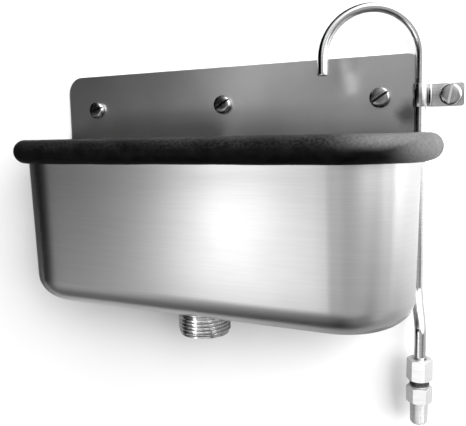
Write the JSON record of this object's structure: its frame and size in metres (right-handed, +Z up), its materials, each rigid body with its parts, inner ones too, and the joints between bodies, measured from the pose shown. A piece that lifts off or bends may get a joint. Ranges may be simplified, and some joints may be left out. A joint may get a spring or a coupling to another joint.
{
  "type": "dipper well",
  "caption": "Wall-hung running-water dipper well: deep-drawn steel basin on a back plate, rubber rim moulding, gooseneck spout and a lift-out overflow tube.",
  "frame": {"origin": "on the wall, at the back face of the back plate, at the middle of its length and at the height of the basin's rim", "axes": "+Z up, +Y into the wall, +X to the right as seen from the front, towards the spout"},
  "size_m": [0.2856, 0.1012, 0.2368],
  "materials": {
    "brushed_basin": "horizontal brushed grain",
    "brushed_plate": "horizontal brushed grain, darker",
    "black_rubber": "matte black",
    "screw_steel": "plain bright, slightly worn",
    "polished_steel": "polished stainless",
    "fitting_steel": "machined bright",
    "brass": "turned",
    "seal_rubber": "matte black"
  },
  "bodies": {
    "well": {"basin": "brushed_basin", "back_plate": "brushed_plate", "rim_bumper": "black_rubber", "plate_screw_left": "screw_steel", "plate_screw_middle": "screw_steel", "plate_screw_right": "screw_steel", "strap_screw": "screw_steel", "tube_strap": "polished_steel", "spout_tube": "polished_steel", "compression_nut": "fitting_steel", "compression_ferrule": "brass", "inlet_connector": "fitting_steel", "drain_nipple": "fitting_steel"},
    "overflow": {"overflow_tube": "polished_steel", "overflow_plug": "fitting_steel", "overflow_seal": "seal_rubber"}
  },
  "joints": [
    {"name": "overflow_lift", "type": "slide", "parent": "well", "child": "overflow", "axis": [0, 0, 1], "range_m": [0, 0.13]}
  ]
}
